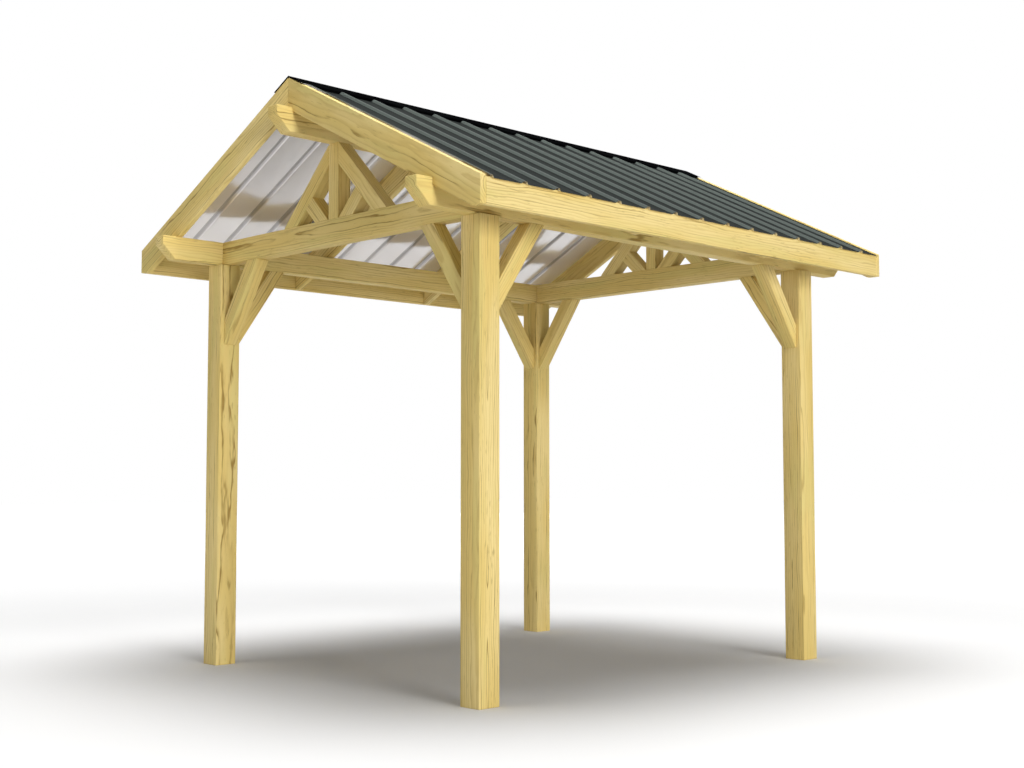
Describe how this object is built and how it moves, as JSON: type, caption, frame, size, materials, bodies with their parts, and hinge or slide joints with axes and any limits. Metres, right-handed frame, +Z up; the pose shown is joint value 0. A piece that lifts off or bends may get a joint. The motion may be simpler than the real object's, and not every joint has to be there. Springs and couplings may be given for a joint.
{
  "type": "open gable pergola",
  "caption": "Free-standing timber pergola on square posts, with strutted gable frames, knee braces, chamfered beam tails and a ribbed metal gable roof.",
  "frame": {"origin": "on the ground, in the middle between the four posts", "axes": "+X across the gable, +Y along the ridge towards the back gable, +Z up"},
  "size_m": [3.1882, 3.696, 3.3644],
  "materials": {
    "pine": "planed softwood with long olive-brown grain lines, matt",
    "roof_metal": "satin charcoal paint on top, smooth off-white coating on the underside that mirrors the beams",
    "cap_metal": "black paint, matt"
  },
  "bodies": {
    "root": {"post_front_left": "pine", "post_front_right": "pine", "post_back_left": "pine", "post_back_right": "pine", "plate_left": "pine", "plate_right": "pine", "ridge_beam": "pine", "tie_beam_front": "pine", "tie_beam_back": "pine", "king_post_front": "pine", "king_post_back": "pine", "strut_front_left": "pine", "strut_front_right": "pine", "strut_back_left": "pine", "strut_back_right": "pine", "web_front_left": "pine", "web_front_right": "pine", "web_back_left": "pine", "web_back_right": "pine", "gable_brace_front_left": "pine", "gable_brace_front_right": "pine", "gable_brace_back_left": "pine", "gable_brace_back_right": "pine", "side_brace_front_left": "pine", "side_brace_front_right": "pine", "side_brace_back_left": "pine", "side_brace_back_right": "pine", "barge_board_front_left": "pine", "barge_board_front_right": "pine", "barge_board_back_left": "pine", "barge_board_back_right": "pine", "rafter_front_left": "pine", "rafter_front_right": "pine", "rafter_back_left": "pine", "rafter_back_right": "pine", "fascia_left": "pine", "fascia_right": "pine", "roof_sheet_left": "roof_metal", "roof_sheet_right": "roof_metal", "ridge_cap": "cap_metal"}
  },
  "joints": []
}
